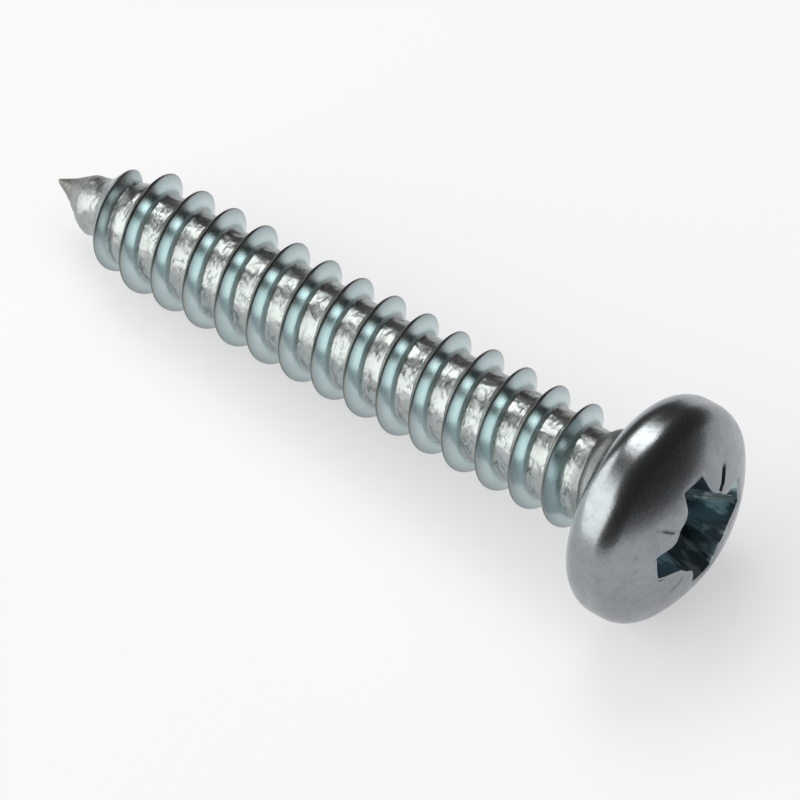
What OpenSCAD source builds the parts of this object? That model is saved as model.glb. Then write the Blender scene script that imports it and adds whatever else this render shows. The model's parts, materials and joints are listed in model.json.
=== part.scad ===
// Sheet metal screw with a pan head and a cross recess, lying on a flat surface.
// The screw is drawn upright, with its axis on Z and the bearing face of the head at Z = 0,
// and then laid down: it rests on the edge of its head and on a crest of its thread near the point.

/* [Shank] */
// Length from the bearing face to the end of the point
shank_len = 25; // [16:1:38]
// Diameter of the plain neck under the head
neck_d = 3.4; // [3.2:0.05:3.7]
// Length of the plain neck
neck_len = 0.9; // [0.7:0.05:1.2]
// Radius of the fillet between the neck and the bearing face
fillet_r = 0.5; // [0.3:0.05:0.6]

/* [Thread] */
// Diameter over the crests
thread_d = 4.2; // [3.9:0.05:4.4]
// Diameter of the core at the root
core_d = 3.05; // [2.8:0.05:3.15]
// Axial distance from crest to crest
pitch = 1.4; // [1.3:0.05:1.6]
// Angle between the two flanks, in degrees
flank_angle = 60; // [45:1:65]
// Width of the flat on the crest
crest_w = 0.1; // [0.05:0.01:0.2]
// Length over which the thread runs out below the neck
runout_len = 1; // [0.6:0.1:2]

/* [Point] */
// Length of the conical point of the core
point_len = 3.7; // [3:0.1:4.5]
// Diameter of the blunt end of the point
tip_d = 0.4; // [0.2:0.05:0.6]
// Distance from the end of the point at which the thread begins to rise
thread_start = 0.6; // [0.3:0.1:1]
// Distance from the end of the point at which the thread reaches its full height
thread_full = 3.9; // [3:0.1:4.8]

/* [Head] */
// Diameter of the head at its widest
head_d = 8; // [7.4:0.1:8.6]
// Height of the crown above the bearing face, as if it ran on over the recess
head_h = 3.2; // [2.8:0.05:3.4]
// Height of the widest circle above the bearing face
widest_h = 0.75; // [0.6:0.05:0.9]
// Radius of the rounded edge below the widest circle
lower_edge_r = 0.9; // [0.9:0.05:1.2]
// Height of the straight side above the widest circle
side_h = 0.4; // [0.2:0.05:0.5]
// Radius of the rounded edge between the side and the crown
upper_edge_r = 1; // [0.6:0.05:1.1]

/* [Recess] */
// Diameter over the ends of the wings, measured on the crown
recess_d = 4.3; // [3.9:0.05:4.6]
// Depth of the recess below the top of the crown
recess_depth = 2.2; // [1.8:0.05:2.4]
// Width of one wing
wing_w = 1; // [0.8:0.05:1.1]
// Diameter over the ends of the wings at their floor
wing_floor_d = 1.8; // [1.6:0.05:2.2]
// Height of the floor of the wings above the floor of the middle
wing_floor_h = 0.2; // [0.1:0.05:0.4]
// Diameter of the middle of the recess, measured on the crown
pit_d = 3; // [2.7:0.05:3.2]
// Diameter of the middle of the recess at the bottom
pit_floor_d = 1.5; // [1.2:0.05:1.6]
// Diameter of the cone in the floor of the middle
pit_cone_d = 1; // [0.6:0.05:1.1]
// Depth of the cone in the floor of the middle
pit_cone_h = 0.25; // [0.1:0.05:0.4]

/* [Marks] */
// Distance from the axis to the middle of a mark
mark_dist = 2; // [1.9:0.05:2.2]
// Length of a mark
mark_len = 0.75; // [0.4:0.05:0.9]
// Width of a mark
mark_w = 0.18; // [0.1:0.02:0.3]
// Depth of a mark
mark_depth = 0.1; // [0.05:0.01:0.15]

/* [Position] */
// Turn of the whole screw about its own axis as it lies, in degrees
lying_turn = -1.5; // [-180:0.5:180]
// Turn of the thread from the wings of the recess, in degrees
thread_turn = 171; // [0:1:359]

/* [Hidden] */
$fn = 96;

// Surfaces that are to be cut through are overshot by this much
past = 0.2;

head_r = head_d / 2;
neck_r = neck_d / 2;
core_r = core_d / 2;
thread_h = thread_d / 2 - core_r;

// The straight side ends here, and the rounded edge to the crown begins
side_top = widest_h + side_h;
corner_x = head_r - upper_edge_r;
corner_drop = side_top - head_h;
// The crown is one sphere that the rounded edge meets with no kink
crown_r = (upper_edge_r ^ 2 - corner_x ^ 2 - corner_drop ^ 2) / (2 * (corner_drop + upper_edge_r));
crown_z = head_h - crown_r;
corner_slope = atan2(side_top - crown_z, corner_x);

// One pitch of the thread: the height along the axis from the middle of the crest, and the share
// of the thread's height, for each edge from one crest to the next
flank_w = thread_h * tan(flank_angle / 2);
// Share of its height that the thread still has where it meets the neck
runout_h = 0.3;
bevel = 0.1;
profile = [
    [crest_w / 2, 1],
    [crest_w / 2 + flank_w, 0],
    [pitch - crest_w / 2 - flank_w, 0],
    [pitch - crest_w / 2, 1]
];
edges = len(profile);
steps_per_turn = 36;
// The helix begins just above the end of the point and goes one turn up into the neck and the head
point_gap = 0.12;
hidden_start = 0.05;
helix_z = -shank_len + point_gap - crest_w / 2;
helix_steps = ceil((shank_len - point_gap - neck_len + hidden_start) / pitch * steps_per_turn)
    + steps_per_turn;

// The screw rests on the rounded lower edge of its head and on whichever crest it meets first as it
// tips down, out of those that pass the underside of the lying shank
edge_x = head_r - lower_edge_r;
crest_at_underside = helix_z - pitch * (thread_turn + lying_turn) / 360;
crests = [
    for (turn = [0 : ceil(shank_len / pitch) + 1])
        let (z = crest_at_underside + turn * pitch + crest_w / 2)
        if (z > -shank_len + thread_start && z < -shank_len / 2) [z, core_at(z) + thread_at(z)]
];
function tilt_onto(crest) =
    let (run = widest_h - crest[0], drop = edge_x - crest[1])
    atan2(drop, run) + asin(lower_edge_r / norm([run, drop]));
tilt = min([for (crest = crests) tilt_onto(crest)]);
lift = edge_x * cos(tilt) - widest_h * sin(tilt) + lower_edge_r;
// Half way between the end of the point and the top of the crown
middle_x = (crown_z * cos(tilt) + crown_r - shank_len * cos(tilt)) / 2;

function rise(a, b, x) = min(1, max(0, (x - a) / (b - a)));

// Radius of the core and height of the thread on it, at a height z below the bearing face
function core_at(z) =
    let (from_end = z + shank_len)
    tip_d / 2 + (core_r - tip_d / 2) * rise(0, point_len, from_end);
function thread_at(z) =
    let (
        on_point = rise(thread_start, thread_full, z + shank_len),
        under_neck = runout_h + (1 - runout_h) * rise(-neck_len, -neck_len - runout_len, z)
    )
    z < -neck_len + bevel ? thread_h * on_point * under_neck : 0;

// Point number edge of the profile, after a number of steps up the helix
function helix_point(edge, step) =
    let (
        angle = thread_turn + step * 360 / steps_per_turn,
        z = helix_z + step * pitch / steps_per_turn + profile[edge][0],
        r = core_at(z) + profile[edge][1] * thread_at(z)
    )
    [r * cos(angle), r * sin(angle), z];

// Pairs of numbers from a ring of them, as edges that go once round it
function around(ring) = [for (i = [0 : len(ring) - 1]) [ring[i], ring[(i + 1) % len(ring)]]];

// Core, point and thread: strands along the helix, joined by triangles, and closed by a fan at each end
module threaded_shank() {
    strands = [for (step = [0 : helix_steps], edge = [0 : edges - 1]) helix_point(edge, step)];
    function at(edge, step) = edge < edges ? step * edges + edge : (step + steps_per_turn) * edges;
    tip_point = len(strands);
    top_point = tip_point + 1;
    wall = [
        for (step = [0 : helix_steps - 1], edge = [0 : edges - 1])
            if (edge < edges - 1 || step < helix_steps - steps_per_turn)
                each [
                    [at(edge, step), at(edge + 1, step), at(edge + 1, step + 1)],
                    [at(edge, step), at(edge + 1, step + 1), at(edge, step + 1)]
                ]
    ];
    first_turn = concat(
        [for (step = [0 : steps_per_turn]) at(0, step)],
        [for (edge = [edges - 1 : -1 : 1]) at(edge, 0)]
    );
    last_turn = concat(
        [for (step = [helix_steps - steps_per_turn : helix_steps]) at(edges - 1, step)],
        [for (edge = [edges - 2 : -1 : 0]) at(edge, helix_steps)]
    );
    top_z = helix_z + (helix_steps - steps_per_turn / 2) * pitch / steps_per_turn;
    polyhedron(
        points = concat(strands, [[0, 0, -shank_len], [0, 0, top_z]]),
        faces = concat(
            wall,
            [for (pair = around(first_turn)) [tip_point, pair[0], pair[1]]],
            [for (pair = around(last_turn)) [top_point, pair[1], pair[0]]]
        )
    );
}

// What the two rounded edges take from a square outline
module lower_edge_waste() {
    difference() {
        translate([edge_x, -past]) square([lower_edge_r + past, widest_h + past]);
        translate([edge_x, widest_h]) circle(lower_edge_r);
    }
}

module upper_edge_waste() {
    reach = 2 * head_h;
    difference() {
        translate([corner_x, side_top])
            polygon([
                [0, 0],
                [reach, 0],
                [reach, reach],
                [reach * cos(corner_slope), reach * sin(corner_slope)]
            ]);
        translate([corner_x, side_top]) circle(upper_edge_r);
    }
}

// Outline of the head from the axis outwards
module head_outline() {
    difference() {
        intersection() {
            square([head_r, head_h]);
            translate([0, crown_z]) circle(crown_r);
        }
        lower_edge_waste();
        upper_edge_waste();
    }
}

// Outline of the neck, with its fillet and a small bevel at the end, which reaches into the head
module neck_outline() {
    polygon([
        [0, -neck_len],
        [neck_r - bevel, -neck_len],
        [neck_r, -neck_len + bevel],
        [neck_r, past],
        [0, past]
    ]);
    difference() {
        translate([neck_r - past, -fillet_r]) square([fillet_r + past, fillet_r + past]);
        translate([neck_r + fillet_r, -fillet_r]) circle(fillet_r);
        translate([neck_r + fillet_r, -fillet_r]) square([past, fillet_r + 2 * past]);
    }
}

module head_blank() {
    rotate_extrude() {
        head_outline();
        neck_outline();
    }
}

// One slot through the axis, whose two ends slope inwards: two of them make the four wings
module wing_slot() {
    floor_z = head_h - recess_depth + wing_floor_h;
    crown_at_wing = crown_z + sqrt(crown_r ^ 2 - (recess_d / 2) ^ 2);
    slope = (recess_d - wing_floor_d) / 2 / (crown_at_wing - floor_z);
    top_z = head_h + past;
    top_x = wing_floor_d / 2 + slope * (top_z - floor_z);
    rotate([90, 0, 0])
        linear_extrude(wing_w, center = true)
            polygon([
                [-wing_floor_d / 2, floor_z],
                [wing_floor_d / 2, floor_z],
                [top_x, top_z],
                [-top_x, top_z]
            ]);
}

module recess() {
    floor_z = head_h - recess_depth;
    crown_at_pit = crown_z + sqrt(crown_r ^ 2 - (pit_d / 2) ^ 2);
    pit_slope = (pit_d - pit_floor_d) / 2 / (crown_at_pit - floor_z);
    pit_h = head_h + past - floor_z;
    for (turn = [0, 90]) rotate(turn) wing_slot();
    translate([0, 0, floor_z])
        cylinder(h = pit_h, r1 = pit_floor_d / 2, r2 = pit_floor_d / 2 + pit_slope * pit_h);
    // The cone is a little taller than it is deep, so that it breaks through the floor
    cone_h = pit_cone_h * 1.1;
    translate([0, 0, floor_z - pit_cone_h]) cylinder(h = cone_h, r1 = 0, r2 = pit_cone_d / 2 * 1.1);
}

// Four short radial grooves between the wings, level with the crown
module marks() {
    slope = asin(mark_dist / crown_r);
    for (turn = [45 : 90 : 315])
        translate([0, 0, crown_z])
            rotate([0, slope, turn])
                translate([0, 0, crown_r])
                    cube([mark_len, mark_w, 2 * mark_depth], center = true);
}

module head() {
    difference() {
        head_blank();
        recess();
        marks();
    }
}

module screw() {
    color("silver")
        translate([-middle_x, 0, lift])
            rotate([0, 90 - tilt, 0])
                rotate(lying_turn) {
                    head();
                    threaded_shank();
                }
}

screw();
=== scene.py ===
import json
import math

import bpy
import numpy as np
from mathutils import Matrix, Vector


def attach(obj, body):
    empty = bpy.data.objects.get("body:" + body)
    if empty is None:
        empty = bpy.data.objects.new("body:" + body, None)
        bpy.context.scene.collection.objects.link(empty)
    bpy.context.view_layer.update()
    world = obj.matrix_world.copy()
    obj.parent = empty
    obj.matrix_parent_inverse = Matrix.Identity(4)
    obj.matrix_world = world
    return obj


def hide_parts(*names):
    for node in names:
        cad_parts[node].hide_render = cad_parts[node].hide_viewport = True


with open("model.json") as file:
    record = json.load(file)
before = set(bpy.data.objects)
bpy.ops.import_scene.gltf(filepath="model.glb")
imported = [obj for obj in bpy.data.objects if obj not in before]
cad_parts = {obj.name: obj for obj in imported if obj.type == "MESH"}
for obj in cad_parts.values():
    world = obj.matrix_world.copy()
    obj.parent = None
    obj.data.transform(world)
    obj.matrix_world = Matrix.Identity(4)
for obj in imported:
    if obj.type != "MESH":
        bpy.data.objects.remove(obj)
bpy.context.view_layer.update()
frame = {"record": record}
print("frame: the packed screw is loaded")

# The screw's own axes come from the record: its bearing face under the head, and the way to the point.
seatMount = next(m for m in frame["record"]["mounts"] if m["name"] == "seat")
seatCentre = np.array(seatMount["pos_m"])
headWays = -np.array(seatMount["axis"]) / np.linalg.norm(seatMount["axis"])
sideWays = np.array([0.0, 1.0, 0.0])
downWays = np.cross(sideWays, headWays)
millimetre = 0.001
lyingTurn = -1.5  # degrees that the screw is turned about its axis as it lies


def layDown(points):
    # millimetres on the screw's axes, to metres where it lies
    return seatCentre + millimetre * points @ np.array([downWays, sideWays, headWays])


def latticeNoise(points, size, seed):
    # smooth noise from -1 to 1, the same on every run
    scaled = points / size
    cell = np.floor(scaled).astype(np.int64)
    part = scaled - cell
    part = part * part * (3 - 2 * part)
    total = np.zeros(len(points))
    for corner in range(8):
        step = np.array([corner & 1, corner >> 1 & 1, corner >> 2])
        x, y, z = (cell + step).T
        mixed = (x * 73856093) ^ (y * 19349663) ^ (z * 83492791) ^ (seed * 1640531513)
        mixed = (mixed & 0xFFFFFFFF) * 0x9E3779B1 & 0xFFFFFFFF
        mixed = (mixed ^ mixed >> 15) * 0x85EBCA6B & 0xFFFFFFFF
        value = ((mixed ^ mixed >> 13) & 0xFFFF) / 32767.5 - 1
        total += value * np.prod(np.where(step, part, 1 - part), axis=1)
    return total


def softMin(a, b, rounding):
    return np.minimum(a, b) - np.maximum(rounding - abs(a - b), 0) ** 2 / (4 * rounding)


def softMax(a, b, rounding):
    return -softMin(-a, -b, rounding)


def fade(low, high, x):
    # 0 below low, 1 above high, smooth between
    t = np.clip((x - low) / (high - low), 0, 1)
    return t * t * (3 - 2 * t)


def makePiece(name, points, faces, masks, finish):
    mesh = bpy.data.meshes.new(name)
    mesh.from_pydata(layDown(points).tolist(), [], faces)
    for maskName, values in masks.items():
        layer = mesh.attributes.new(maskName, "FLOAT", "POINT")
        layer.data.foreach_set("value", np.asarray(values, np.float32))
    mesh.polygons.foreach_set("use_smooth", [True] * len(mesh.polygons))
    mesh.materials.append(finish)
    mesh.update()
    piece = bpy.data.objects.new(name, mesh)
    bpy.context.scene.collection.objects.link(piece)
    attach(piece, "root")
    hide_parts("screw")
    print(f"{name}: {len(points)} points, {len(faces)} faces")
    return piece


# Shader maths as plain expressions.
class Wire:
    def __init__(self, finish, socket):
        self.finish = finish
        self.socket = socket

    def sums(self, operation, first, second):
        return self.finish.node("ShaderNodeMath", {"operation": operation}, {0: first, 1: second})

    def __add__(self, other):
        return self.sums("ADD", self, other)

    def __radd__(self, other):
        return self.sums("ADD", other, self)

    def __sub__(self, other):
        return self.sums("SUBTRACT", self, other)

    def __rsub__(self, other):
        return self.sums("SUBTRACT", other, self)

    def __mul__(self, other):
        return self.sums("MULTIPLY", self, other)

    def __rmul__(self, other):
        return self.sums("MULTIPLY", other, self)


class Finish:
    def __init__(self, name, world=False):
        self.owner = (bpy.data.worlds if world else bpy.data.materials).new(name)
        self.owner.use_nodes = True
        self.tree = self.owner.node_tree
        self.tree.nodes.clear()

    def node(self, kind, settings=None, values=None, out=0):
        made = self.tree.nodes.new(kind)
        for name, value in (settings or {}).items():
            if name == "stops":
                ramp = made.color_ramp.elements
                ramp[0].position, ramp[1].position = value[0][0], value[-1][0]
                for place, _ in value[1:-1]:
                    ramp.new(place)
                for stop, (_, colour) in zip(ramp, value):
                    stop.color = (*colour, 1) if isinstance(colour, tuple) else (colour,) * 3 + (1,)
            else:
                setattr(made, name, value)
        for name, value in (values or {}).items():
            if isinstance(value, Wire):
                self.tree.links.new(value.socket, made.inputs[name])
            else:
                made.inputs[name].default_value = value
        return Wire(self, made.outputs[out])

    def mask(self, name):
        return self.node("ShaderNodeAttribute", {"attribute_name": name}, out="Fac")

    def places(self):
        # the part's own place in millimetres
        spot = self.node("ShaderNodeTexCoord", out="Object")
        return self.node("ShaderNodeVectorMath", {"operation": "SCALE"}, {0: spot, "Scale": 1000.0})

    def stretch(self, spot, ways):
        return self.node("ShaderNodeVectorMath", {"operation": "MULTIPLY"}, {0: spot, 1: ways})

    def crease(self, noise):
        # 0 along the level lines of a noise, up to 1 away from them
        return self.node("ShaderNodeMath", {"operation": "ABSOLUTE"}, {0: noise - 0.5}) * 2.0

    def grain(self, spot, perMillimetre, detail=2.0, roughness=0.5):
        return self.node(
            "ShaderNodeTexNoise", {},
            {"Vector": spot, "Scale": perMillimetre, "Detail": detail, "Roughness": roughness},
        )

    def steps(self, value, *stops):
        return self.node("ShaderNodeValToRGB", {"stops": stops}, {"Fac": value})

    def tint(self, share, first, second, way="MIX"):
        colours = [c if isinstance(c, Wire) else (*c, 1) for c in (first, second)]
        return self.node(
            "ShaderNodeMix", {"data_type": "RGBA", "blend_type": way},
            {0: share, 6: colours[0], 7: colours[1]}, out=2,
        )

    def close(self, shader, output="ShaderNodeOutputMaterial"):
        last = self.tree.nodes.new(output)
        self.tree.links.new(shader.socket, last.inputs["Surface"])
        return self.owner


headLook = {
    "satin": (0.308, 0.334, 0.354),
    "dull": (0.215, 0.228, 0.240),
    # the recess walls are coloured darker than the crown: painted shade in the recess
    "recess": (0.180, 0.258, 0.305),
    # painted highlight: the pale colour of the glints painted on the recess walls
    "recessPaintedGlint": (0.560, 0.700, 0.740),
    "mark": (0.085, 0.092, 0.100),
    "under": (0.460, 0.530, 0.550),
    "roughness": 0.24,
    "grainDepth": 0.0000040,
    "drawDepth": 0.000030,
}


def makeHeadFinish():
    finish = Finish("satinZinc")
    spot = finish.places()
    recess = finish.mask("recess")
    mark = finish.mask("mark")
    cloud = finish.steps(finish.grain(spot, 1.3, 4.0, 0.6), (0.35, 0.0), (0.68, 1.0))
    speck = finish.steps(finish.grain(spot, 4.0, 4.0, 0.7), (0.50, 0.0), (0.72, 1.0))
    # the walls of the recess are drawn along the screw's axis
    drawn = finish.grain(finish.stretch(spot, (0.3, 1.0, 1.0)), 5.0, 3.0, 0.6)
    patch = finish.grain(finish.stretch(spot, (0.6, 1.0, 1.0)), 1.4, 2.0, 0.5)
    # painted glints: pale patches and streaks painted where the noise is high
    paintedGlint = finish.steps(patch + drawn * 0.3, (0.66, 0.0), (0.74, 1.0))
    shade = finish.tint(speck * 0.55, headLook["satin"], headLook["dull"])
    shade = finish.tint(cloud * 0.35, shade, headLook["dull"])
    wall = finish.tint(paintedGlint, headLook["recess"], headLook["recessPaintedGlint"])
    # painted shade: the recess takes the darker wall colour
    shade = finish.tint(recess, shade, wall)
    shade = finish.tint(finish.mask("under"), shade, headLook["under"])
    shade = finish.tint(mark, shade, headLook["mark"])
    satin = finish.node(
        "ShaderNodeBump", {},
        {"Strength": 1.0, "Distance": headLook["grainDepth"], "Height": finish.grain(spot, 4.5, 4.0, 0.6)},
    )
    bump = finish.node(
        "ShaderNodeBump", {},
        {"Strength": 1.0, "Distance": headLook["drawDepth"], "Height": drawn * recess, "Normal": satin},
    )
    rough = headLook["roughness"] + speck * 0.05 + cloud * 0.04 + recess * 0.12
    metal = finish.node(
        "ShaderNodeBsdfPrincipled", {},
        {"Base Color": shade, "Metallic": 1.0, "Roughness": rough, "Normal": bump},
    )
    return finish.close(metal)


threadLook = {
    "flank": (0.468, 0.565, 0.582),
    "flankPale": (0.528, 0.620, 0.634),
    # painted shade: the flanks are coloured greyer and darker near the crests, standing in for a darker reflection
    # there
    "outer": (0.290, 0.318, 0.334),
    "root": (0.372, 0.400, 0.402),
    "turned": (0.285, 0.302, 0.305),
    # painted shade: the thread is coloured darker next to the head
    "neck": (0.235, 0.250, 0.250),
    "pits": (0.120, 0.145, 0.145),
    "point": (0.230, 0.215, 0.200),
    "crest": (0.120, 0.120, 0.108),
    "roughness": 0.19,
    "crumpleDepth": 0.000034,
    "foldDepth": 0.000011,
}


def makeThreadFinish():
    finish = Finish("rolledZinc")
    spot = finish.places()
    root = finish.mask("root")
    crest = finish.mask("crest")
    point = finish.mask("point")
    neck = finish.mask("neck")
    tip = finish.steps(point, (0.62, 0.0), (0.96, 1.0))
    turned = finish.steps(point, (0.05, 0.0), (0.45, 1.0))
    cloud = finish.steps(finish.grain(spot, 1.1, 3.0, 0.6), (0.38, 0.0), (0.66, 1.0))
    # rolling leaves folds that run round the screw, and the point is turned
    rolled = finish.stretch(spot, (1.0, 0.45, 0.45))
    folds = finish.crease(finish.grain(rolled, 4.2, 3.0, 0.6))
    some = finish.steps(finish.grain(spot, 1.9, 2.0, 0.5), (0.48, 0.0), (0.60, 1.0))
    dark = finish.steps(folds, (0.02, 1.0), (0.10, 0.0)) * some
    scores = finish.grain(finish.stretch(spot, (1.0, 0.12, 0.12)), 6.5, 2.0, 0.5)
    shade = finish.tint(cloud, threadLook["flank"], threadLook["flankPale"])
    # painted shade: darker, greyer colour near the crests
    shade = finish.tint(finish.mask("outer") * 0.75, shade, threadLook["outer"])
    shade = finish.tint(root, shade, threadLook["root"])
    shade = finish.tint(root * dark * (1 - turned) * 0.85, shade, threadLook["pits"])
    shade = finish.tint(turned * 0.7, shade, threadLook["turned"])
    # painted shade next to the head
    shade = finish.tint(neck * 0.8, shade, threadLook["neck"])
    shade = finish.tint(tip * 0.8, shade, threadLook["point"])
    shade = finish.tint(crest, shade, threadLook["crest"])
    foot = root * (1 - root) * 4  # where the flanks meet the roots, duller
    rough = root * (1 - turned * 0.85)
    crumple = finish.node(
        "ShaderNodeBump", {},
        {
            "Strength": 1.0, "Distance": threadLook["crumpleDepth"],
            "Height": finish.grain(rolled, 3.4, 2.0, 0.5) * (rough + 0.02),
        },
    )
    bump = finish.node(
        "ShaderNodeBump", {},
        {
            "Strength": 1.0, "Distance": threadLook["foldDepth"], "Normal": crumple,
            "Height": finish.grain(rolled, 9.0, 3.0, 0.6) * (rough + 0.02) + folds * rough + scores * (turned * 6.0),
        },
    )
    satin = threadLook["roughness"] + cloud * 0.04 + crest * 0.20 + root * 0.11 + turned * 0.16 + neck * 0.10 + foot * 0.20
    metal = finish.node(
        "ShaderNodeBsdfPrincipled", {},
        {"Base Color": shade, "Metallic": 1.0, "Roughness": satin, "Normal": bump},
    )
    return finish.close(metal)


# The pan head, with its cross recess and the neck below it. Sizes are in millimetres from the bearing face.
head = {
    "columns": 480,
    "radius": 4.0,
    "height": 3.2,
    "widest": 0.75,
    "lowerEdge": 0.9,
    "sideBand": 0.4,
    "upperEdge": 1.0,
    "bearingInner": 2.2,
    "neckRadius": 1.7,
    "neckEnd": -0.8,
    "neckShoulder": 0.2,
    "wingReach": 2.14,
    "wingFloorReach": 0.9,
    "wingWidth": 1.0,
    "recessMiddle": (-0.22, -0.05),
    "pitRadius": 1.42,
    "wingFlare": 0.18,
    "pitLean": (0.06, 225),
    "pitFloorRadius": 0.75,
    "recessDepth": 2.2,
    "rimRound": 0.04,
    "rimDip": 0.05,
    "markWidth": 0.078,
    "marks": ((45, 0.03, 1.6, 2.5), (136, 0.10, 1.48, 2.5), (229, 0.04, 1.75, 2.5), (315, 0.04, 1.6, 2.5)),
}


def openingRadius(angle, depth):
    # distance from the recess's axis to its wall, at a depth from 0 at the crown to 1 at the floor
    reach = head["wingReach"] + (head["wingFloorReach"] - head["wingReach"]) * depth
    lean, leanTo = head["pitLean"]
    top = head["pitRadius"] + lean * np.cos(angle - math.radians(leanTo + lyingTurn))
    pit = top + (head["pitFloorRadius"] - top) * depth
    half = head["wingWidth"] / 2 * (1 - 0.10 * depth)
    away = (np.degrees(angle) - lyingTurn + 45) % 90 - 45
    away = np.radians(away)
    flare = head["wingFlare"]
    side = (half + flare * reach) / (abs(np.sin(away)) + flare)
    return softMax(softMin(reach / np.cos(away), side, 0.10), pit, 0.30)


def makeHead(finish):
    columns = head["columns"]
    angle = np.radians(np.arange(columns) * 360 / columns)
    spoke = np.stack([np.cos(angle), np.sin(angle)], axis=1)
    sideTop = head["widest"] + head["sideBand"]
    cornerMiddle = head["radius"] - head["upperEdge"]
    fall = sideTop - head["height"]
    crownRadius = (head["upperEdge"] ** 2 - cornerMiddle**2 - fall**2) / (2 * (fall + head["upperEdge"]))
    crownMiddle = head["height"] - crownRadius
    tangent = math.atan2(sideTop - crownMiddle, cornerMiddle)

    def crownHeight(radius):
        return crownMiddle + np.sqrt(crownRadius**2 - radius**2)

    # walls: the same fine draw lines run down the whole depth
    circle = np.column_stack([spoke, np.zeros(columns)])
    ragged = 0.024 * latticeNoise(circle * 2, 0.34, 3) + 0.012 * latticeNoise(circle * 2, 0.13, 4)
    rows, recess, mark, under = [], [], [], []

    def addRow(xy, z, inside, marked=0.0, below=0.0):
        rows.append(np.column_stack([xy, np.broadcast_to(z, columns)]))
        under.append(np.full(columns, float(below)))
        recess.append(np.full(columns, float(inside)))
        mark.append(np.broadcast_to(marked, columns))

    middle = np.array(head["recessMiddle"])
    edge = openingRadius(angle, 0.0) + ragged
    rim = middle + spoke * edge[:, None]
    along = np.roll(rim, -1, axis=0) - np.roll(rim, 1, axis=0)
    outward = np.column_stack([along[:, 1], -along[:, 0]])
    outward /= np.linalg.norm(outward, axis=1)[:, None]
    rimTop = crownHeight(np.linalg.norm(rim, axis=1)) - head["rimDip"]
    floor = head["height"] - head["recessDepth"]
    for share, drop in ((0.12, 0.22), (0.30, 0.16), (0.50, 0.08), (0.66, 0.0), (0.85, 0.0)):
        addRow(middle + spoke * (openingRadius(angle, 1.0) * share)[:, None], floor - drop, 1)
    for depth in np.linspace(1, 0.06, 20):
        wall = openingRadius(angle, depth) + ragged * (1 - 0.5 * depth)
        addRow(middle + spoke * wall[:, None], floor + (rimTop - head["rimRound"] - floor) * (1 - depth), 1)
    for turn in (0, 30, 60, 90):
        t = math.radians(turn)
        off = head["rimRound"] * (1 - math.cos(t))
        low = head["rimRound"] * (1 - math.sin(t))
        addRow(rim + outward * off, rimTop - low, max(0.0, 1 - turn / 45))
    # the crown round the opening, where the four marks are
    outer = 2.75
    near = rim + outward * (head["rimRound"] + 0.03)
    for share in np.linspace(0, 1, 17) ** 1.5:
        xy = near * (1 - share) + spoke * outer * share
        radius = np.linalg.norm(xy, axis=1)
        fromMiddle = xy - middle
        bearing = np.degrees(np.arctan2(fromMiddle[:, 1], fromMiddle[:, 0])) - lyingTurn
        reach = np.linalg.norm(fromMiddle, axis=1)
        groove = np.zeros(columns)
        for place, depth, start, end in head["marks"]:
            off = np.radians((bearing - place + 180) % 360 - 180) * reach
            length = fade(start - 0.1, start + 0.1, reach) * (1 - fade(end - 0.4, end, reach))
            groove += depth * length * np.exp(-((off / head["markWidth"]) ** 2))
        lift = np.exp(-((share * 8) ** 2)) * (0.5 + latticeNoise(circle * 2, 0.25, 9))
        dip = head["rimDip"] * (1 - fade(0.0, 0.25, share))
        addRow(xy, crownHeight(radius) - dip - groove + 0.014 * lift, 0, groove / 0.10)
    for radius in np.linspace(outer + 0.1, crownRadius * math.cos(tangent), 9):
        addRow(spoke * radius, crownHeight(radius), 0)
    for t in np.linspace(tangent, 0, 14)[1:]:
        addRow(spoke * (cornerMiddle + head["upperEdge"] * math.cos(t)), sideTop + head["upperEdge"] * math.sin(t), 0)
    addRow(spoke * head["radius"], (sideTop + head["widest"]) / 2, 0)
    steepest = math.asin(head["widest"] / head["lowerEdge"])
    lowerMiddle = head["radius"] - head["lowerEdge"]
    for t in np.linspace(0, steepest, 12)[:-1]:
        width = lowerMiddle + head["lowerEdge"] * math.cos(t)
        addRow(spoke * width, head["widest"] - head["lowerEdge"] * math.sin(t), 0, below=float(fade(0.5, 0.9, t)))
    ringOuter = lowerMiddle + head["lowerEdge"] * math.cos(steepest)
    for radius, z in ((ringOuter + 0.01, 0.03), (ringOuter - 0.03, 0.0), (3.0, 0.0), (2.5, 0.0)):
        addRow(spoke * radius, z, 0, below=1)
    fillet = head["bearingInner"] - head["neckRadius"]
    for t in np.linspace(0, math.pi / 2, 9):
        addRow(spoke * (head["bearingInner"] - fillet * math.sin(t)), -fillet * (1 - math.cos(t)), 0, below=1)
    shoulder = head["neckShoulder"]
    for radius, z in (
        (head["neckRadius"], head["neckEnd"] + 0.12),
        (head["neckRadius"] - 0.01, head["neckEnd"]),
        (head["neckRadius"] - 0.04, head["neckEnd"] - shoulder * 0.4),
        (head["neckRadius"] - 0.12, head["neckEnd"] - shoulder * 0.8),
        (head["neckRadius"] - 0.25, head["neckEnd"] - shoulder),
        (head["neckRadius"] - 0.8, head["neckEnd"] - shoulder),
    ):
        addRow(spoke * radius, z, 0, below=1)
    grid = np.array(rows)
    points = grid.reshape(-1, 3)
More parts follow.
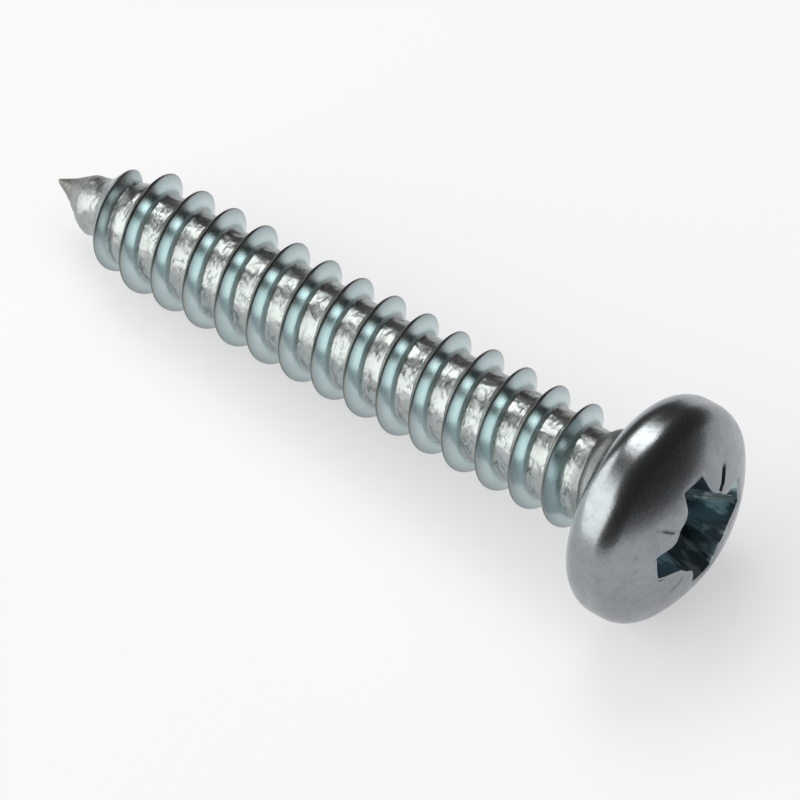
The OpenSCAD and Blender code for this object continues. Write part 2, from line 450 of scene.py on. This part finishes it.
    # hardly visible dents of the forging
    points[:, 2] += 0.004 * latticeNoise(points, 0.9, 21) * fade(0.3, 1.5, points[:, 2])
    count = len(points)
    points = np.vstack([points, [[*middle, floor - 0.25], [0, 0, head["neckEnd"] - shoulder]]])
    faces = []
    for row in range(len(rows) - 1):
        for column in range(columns):
            after = (column + 1) % columns
            a, b = row * columns + column, row * columns + after
            faces.append((a, a + columns, b + columns, b))
    last = (len(rows) - 1) * columns
    for column in range(columns):
        after = (column + 1) % columns
        faces.append((count, column, after))
        faces.append((count + 1, last + after, last + column))
    masks = {
        "recess": np.append(np.concatenate(recess), [1, 0]),
        "mark": np.append(np.concatenate(mark), [0, 0]),
        "under": np.append(np.concatenate(under), [0, 1]),
    }
    return makePiece("panHead", points, faces, masks, finish)


# The threaded shank is one ribbon of strands that run along the thread, from the point into the neck.
shank = {
    "stepsPerTurn": 160,
    "point": -24.9,
    "end": 0.2,
    "pitch": 1.4,
    "crestWidths": ((-1.95, 0.06), (-1.35, 0.40)),
    "flankSlopes": ((-22.7, 0.8), (-21.5, 1.732)),
    "rounding": ((-23.3, 0.3), (-22.6, 0.16), (-22.1, 0.06), (-21.4, 0.03), (-1.95, 0.03), (-1.35, 0.25)),
    "swell": ((-24.3, 0.0), (-24.0, 0.02), (-23.7, 0.03), (-23.4, 0.06), (-22.9, 0.06), (-22.6, 0.0)),
    "crestHeight": -24.93,
    "crestTurn": 171 + lyingTurn,
    "core": ((-24.9, 0.0), (-24.87, 0.05), (-24.75, 0.12), (-24.30, 0.33), (-23.98, 0.52), (-23.77, 0.64),
             (-23.61, 0.72), (-23.36, 0.85), (-23.03, 0.97), (-22.6, 1.08), (-22.0, 1.25), (-21.2, 1.525),
             (0.0, 1.525), (0.2, 0.0)),
    "crests": ((-24.3, 0.0), (-23.71, 0.50), (-23.4, 0.80), (-23.01, 1.20), (-22.66, 1.46), (-22.31, 1.60),
               (-21.95, 1.75), (-21.6, 1.88), (-20.9, 2.1), (-1.95, 2.1), (-1.55, 1.93), (-1.2, 1.78), (-0.85, 1.68)),
    "strands": (0.025, 0.05, 0.08, 0.14, 0.20, 0.27, 0.325, 0.35, 0.375, 0.40, 0.45, 0.51, 0.57, 0.63, 0.70),
    "crumple": 0.014,
}


def fromCrest(angle, z):
    # distance along the axis to the nearest crest
    pitch = shank["pitch"]
    rise = z - shank["crestHeight"] - pitch * (np.degrees(angle) - shank["crestTurn"]) / 360
    return (rise + pitch / 2) % pitch - pitch / 2


def alongTable(z, table):
    return np.interp(z, [place for place, _ in table], [value for _, value in table])


def shankRadius(angle, z):
    # the radius of the rolled surface, and the masks of what it is there
    offCrest = fromCrest(angle, z)
    away, crestPlace = abs(offCrest), z - offCrest
    core = alongTable(z, shank["core"])
    core = core + alongTable(z, shank["swell"]) * np.cos(2 * math.pi * offCrest / shank["pitch"])
    peak = alongTable(crestPlace, shank["crests"])
    ridge = np.maximum(peak - core, 0)
    rounding = alongTable(crestPlace, shank["rounding"])
    tooth = peak - (away - alongTable(crestPlace, shank["crestWidths"]) / 2) * alongTable(crestPlace, shank["flankSlopes"])
    tooth = softMin(tooth, peak, rounding)
    root = 1 - fade(-0.06, 0.18, tooth - core)
    crest = np.exp(-((away / 0.035) ** 2)) * fade(0.2, 0.5, ridge)
    crest *= fade(-22.5, -21.3, crestPlace) * (1 - fade(-1.9, -1.5, crestPlace))
    # where the flanks are painted darker near the crests, as painted shade
    outer = (1 - fade(0.03, 0.22, away)) * fade(0.2, 0.5, ridge)
    point = 1 - fade(-24.6, -22.4, z)
    root = np.maximum(root, 0.7 * fade(-1.85, -1.45, crestPlace))
    root = np.maximum(root, 0.25 * (1 - fade(-22.3, -21.3, crestPlace)))
    ripple = np.column_stack([core * np.cos(angle), core * np.sin(angle), z])
    crumple = latticeNoise(ripple, 0.22, 31) + 0.6 * latticeNoise(ripple, 0.11, 32)
    radius = softMax(core, tooth, np.maximum(rounding, 0.03)) + shank["crumple"] * crumple * root * fade(0.1, 0.7, core)
    # the ends close on the axis
    radius = np.where(core < 0.25, np.minimum(radius, core * 1.3), radius)
    # the thread next to the head: painted darker as painted shade, and made rougher
    neck = fade(-2.0, -1.2, crestPlace) * fade(-1.9, -1.4, z)
    return radius, root, crest, outer, point, neck


def makeShank(finish):
    pitch, steps = shank["pitch"], shank["stepsPerTurn"]
    side = np.array(shank["strands"])
    offsets = np.concatenate([-side[::-1], [0.0], side[:-1]]) + pitch / 2
    strands = len(offsets)
    lastFull = math.floor((shank["end"] - shank["point"]) / pitch * steps)
    top = shank["point"] + lastFull * pitch / steps
    total = lastFull + steps
    # the first strand starts at the point, half a pitch behind the crest
    behind = pitch / 2 - (shank["crestHeight"] - shank["point"])
    startTurn = math.radians(shank["crestTurn"] + 360 * behind / pitch)
    step = np.arange(total + 1)[:, None]
    low = shank["point"] + pitch * (step - steps) / steps
    z = low + offsets
    z = np.where(step < steps, shank["point"] + offsets * step / steps, z)
    z = np.where(step > lastFull, top - (pitch - offsets) * (1 - (step - lastFull) / steps), z)
    angle = np.broadcast_to(startTurn + 2 * math.pi * step / steps, z.shape)
    z, angle = z.ravel(), angle.ravel()
    radius, root, crest, outer, point, neck = shankRadius(angle, z)
    points = np.column_stack([radius * np.cos(angle), radius * np.sin(angle), z])
    pointEnd, topEnd = len(points), len(points) + 1
    points = np.vstack([points, [[0, 0, shank["point"]], [0, 0, top]]])

    def corner(k, j):
        if j == strands:
            if k >= lastFull:
                return topEnd
            k, j = k + steps, 0
        if k == 0 or (j == 0 and k <= steps):
            return pointEnd
        return topEnd if k == total else k * strands + j

    faces = []
    for k in range(total):
        for j in range(strands):
            ring = [corner(k, j), corner(k, j + 1), corner(k + 1, j + 1), corner(k + 1, j)]
            ring = [c for i, c in enumerate(ring) if c != ring[i - 1]]
            if len(ring) > 2:
                faces.append(tuple(ring))
    # points that no face uses are left out
    used = sorted({c for ring in faces for c in ring})
    place = {old: new for new, old in enumerate(used)}
    faces = [tuple(place[c] for c in ring) for ring in faces]
    masks = {
        "root": np.append(root, [1, 1])[used],
        "crest": np.append(crest, [0, 0])[used],
        "outer": np.append(outer, [0, 0])[used],
        "point": np.append(point, [1, 0])[used],
        "neck": np.append(neck, [0, 1])[used],
    }
    return makePiece("threadedShank", points[used], faces, masks, finish)


print("pieces")
headPiece = makeHead(makeHeadFinish())
shankPiece = makeShank(makeThreadFinish())

# A pale floor under soft boxes, in metres; far from the screw its colour is painted dark, as painted shade of an unlit
# room.
studio = {
    "floorReach": 3.0,
    "floorDrop": 0.00002,
    "floorColour": (0.80, 0.80, 0.80),
    "paleShare": 0.48,
    "farPaintedShade": (0.08, 0.078, 0.075),
    "paleMiddle": (-20.0, 5.0, 0.0),
    "paleReach": 95.0,
    "fadeReach": 175.0,
    "fillStrength": 1.6,
    "fillSpread": 100,
    "horizon": (0.10, 0.10, 0.105),
    "low": (0.060, 0.048, 0.042),
    "high": (0.050, 0.046, 0.043),
    "boxTint": (1.0, 0.997, 0.955),
    "fillTint": (0.91, 0.935, 1.0),
    "boxes": (
        # name, azimuth, elevation, distance, width, height, brightness
        ("frontBox", -136.0, 25.0, 0.50, 0.80, 0.48, 2.55),
        ("topBox", 143.0, 57.0, 0.50, 0.25, 0.24, 4.1),
    ),
}


def makeFloor():
    finish = Finish("paleFloor")
    away = finish.node(
        "ShaderNodeVectorMath", {"operation": "DISTANCE"}, {0: finish.places(), 1: studio["paleMiddle"]}, out="Value",
    )
    # painted shade: the floor's colour fades from pale to dark away from the screw
    paintedFalloff = finish.node(
        "ShaderNodeMapRange", {"interpolation_type": "SMOOTHSTEP"},
        {"Value": away, "From Min": studio["paleReach"], "From Max": studio["fadeReach"]},
    )
    shade = finish.tint(paintedFalloff, studio["floorColour"], studio["farPaintedShade"])
    matt = finish.node(
        "ShaderNodeBsdfPrincipled", {}, {"Base Color": shade, "Roughness": 1.0, "Specular IOR Level": 0.0},
    )
    white = finish.node("ShaderNodeEmission", {}, {"Color": (1, 1, 1, 1), "Strength": 1.0})
    seen = finish.node("ShaderNodeLightPath", out="Is Camera Ray")
    seen = seen + finish.node("ShaderNodeLightPath", out="Is Glossy Ray")
    seen = seen + finish.node("ShaderNodeLightPath", out="Is Transmission Ray")
    lifted = finish.node(
        "ShaderNodeMixShader", {}, {0: seen * (1 - paintedFalloff) * studio["paleShare"], 1: matt, 2: white},
    )
    reach, z = studio["floorReach"], -studio["floorDrop"]
    corners = [(reach * math.cos(t), reach * math.sin(t), z) for t in np.linspace(0, 2 * math.pi, 64, False)]
    mesh = bpy.data.meshes.new("floor")
    mesh.from_pydata(corners, [], [tuple(range(64))])
    mesh.materials.append(finish.close(lifted))
    floor = bpy.data.objects.new("floor", mesh)
    bpy.context.scene.collection.objects.link(floor)


def makeBox(name, azimuth, elevation, distance, width, height, brightness):
    lamp = bpy.data.lights.new(name, "AREA")
    lamp.shape = "RECTANGLE"
    lamp.size, lamp.size_y = width, height
    lamp.energy = brightness * math.pi * width * height
    lamp.color = studio["boxTint"]
    box = bpy.data.objects.new(name, lamp)
    a, e = math.radians(azimuth), math.radians(elevation)
    way = Vector((math.cos(a) * math.cos(e), math.sin(a) * math.cos(e), math.sin(e)))
    box.location = way * distance
    box.rotation_euler = way.to_track_quat("Z", "Y").to_euler()
    box.visible_camera = False
    bpy.context.scene.collection.objects.link(box)


def makeLight():
    for row in studio["boxes"]:
        makeBox(*row)
    # an even light from above for the floor alone: the steel doesn't mirror it
    lamp = bpy.data.lights.new("evenFill", "SUN")
    lamp.energy = studio["fillStrength"]
    lamp.color = studio["fillTint"]
    lamp.angle = math.radians(studio["fillSpread"])
    fill = bpy.data.objects.new("evenFill", lamp)
    fill.location = (0, 0, 1)
    fill.visible_glossy = False
    bpy.context.scene.collection.objects.link(fill)
    sky = Finish("room", world=True)
    way = sky.node("ShaderNodeTexCoord", out="Generated")
    up = sky.node("ShaderNodeSeparateXYZ", {}, {"Vector": way}, out="Z")
    shade = sky.steps(
        up * 0.5 + 0.5, (0.50, studio["horizon"]), (0.60, studio["low"]), (0.85, studio["high"]),
    )
    bpy.context.scene.world = sky.close(
        sky.node("ShaderNodeBackground", {}, {"Color": shade, "Strength": 1.0}), "ShaderNodeOutputWorld",
    )
    print("light: two soft boxes, an even fill and a dim room")


makeFloor()
makeLight()

# The camera stands where the photograph was taken from.
lookout = {
    "azimuth": 38.376,
    "elevation": 51.914,
    "distance": 0.24873,
    "aim": (0.000504, 0.000707, 0.000165),
    "lens": 329.68,
}


def makeCamera():
    a, e = math.radians(lookout["azimuth"]), math.radians(lookout["elevation"])
    back = Vector((math.sin(a) * math.cos(e), -math.cos(a) * math.cos(e), math.sin(e)))
    eye = bpy.data.cameras.new("lookout")
    eye.sensor_width = 36
    eye.lens = lookout["lens"]
    eye.clip_start, eye.clip_end = 0.01, 50
    camera = bpy.data.objects.new("lookout", eye)
    camera.location = Vector(lookout["aim"]) + back * lookout["distance"]
    camera.rotation_euler = (math.pi / 2 - e, 0, a)
    bpy.context.scene.collection.objects.link(camera)
    bpy.context.scene.camera = camera
    print("camera: in the photograph's place")


makeCamera()
bpy.context.scene.view_settings.view_transform = "Standard"
